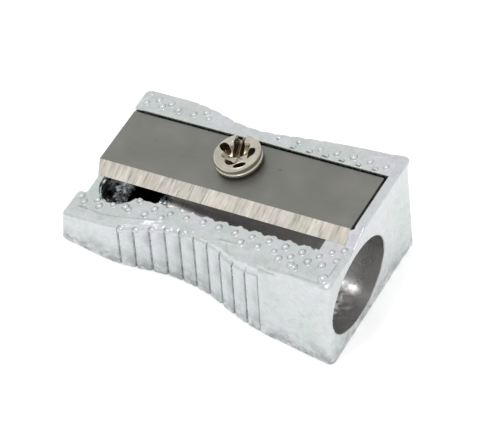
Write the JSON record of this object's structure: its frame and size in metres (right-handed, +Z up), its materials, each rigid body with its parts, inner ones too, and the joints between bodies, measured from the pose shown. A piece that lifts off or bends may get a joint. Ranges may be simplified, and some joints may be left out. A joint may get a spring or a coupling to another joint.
{
  "type": "wedge pencil sharpener",
  "caption": "Small die-cast metal wedge sharpener with a screwed-on steel blade and ribbed grip sides.",
  "frame": {"origin": "middle of the flat base", "axes": "+X towards the thick end where the pencil goes in, +Z up, -Y the side of the shaving slot"},
  "size_m": [0.025, 0.0138, 0.0111],
  "materials": {
    "cast_metal": "satin",
    "blade_steel": "satin",
    "plated_steel": "gloss"
  },
  "bodies": {
    "casting": {"cast_body": "cast_metal"},
    "blade": {"blade": "blade_steel"},
    "screw": {"blade_screw": "plated_steel"}
  },
  "joints": [
    {"name": "blade_lift", "type": "slide", "parent": "casting", "child": "blade", "axis": [-0.2672, 0, 0.9636], "range_m": [0, 0.0045]},
    {"name": "screw_turn", "type": "hinge", "parent": "blade", "child": "screw", "pos_m": [-0.00085, 0.00236, 0.00667], "axis": [-0.2672, 0, 0.9636], "range_deg": [0, 3600]}
  ],
  "couplings": [
    {"joint": "screw_turn", "follows": "blade_lift", "rad_per_m": 13963}
  ]
}
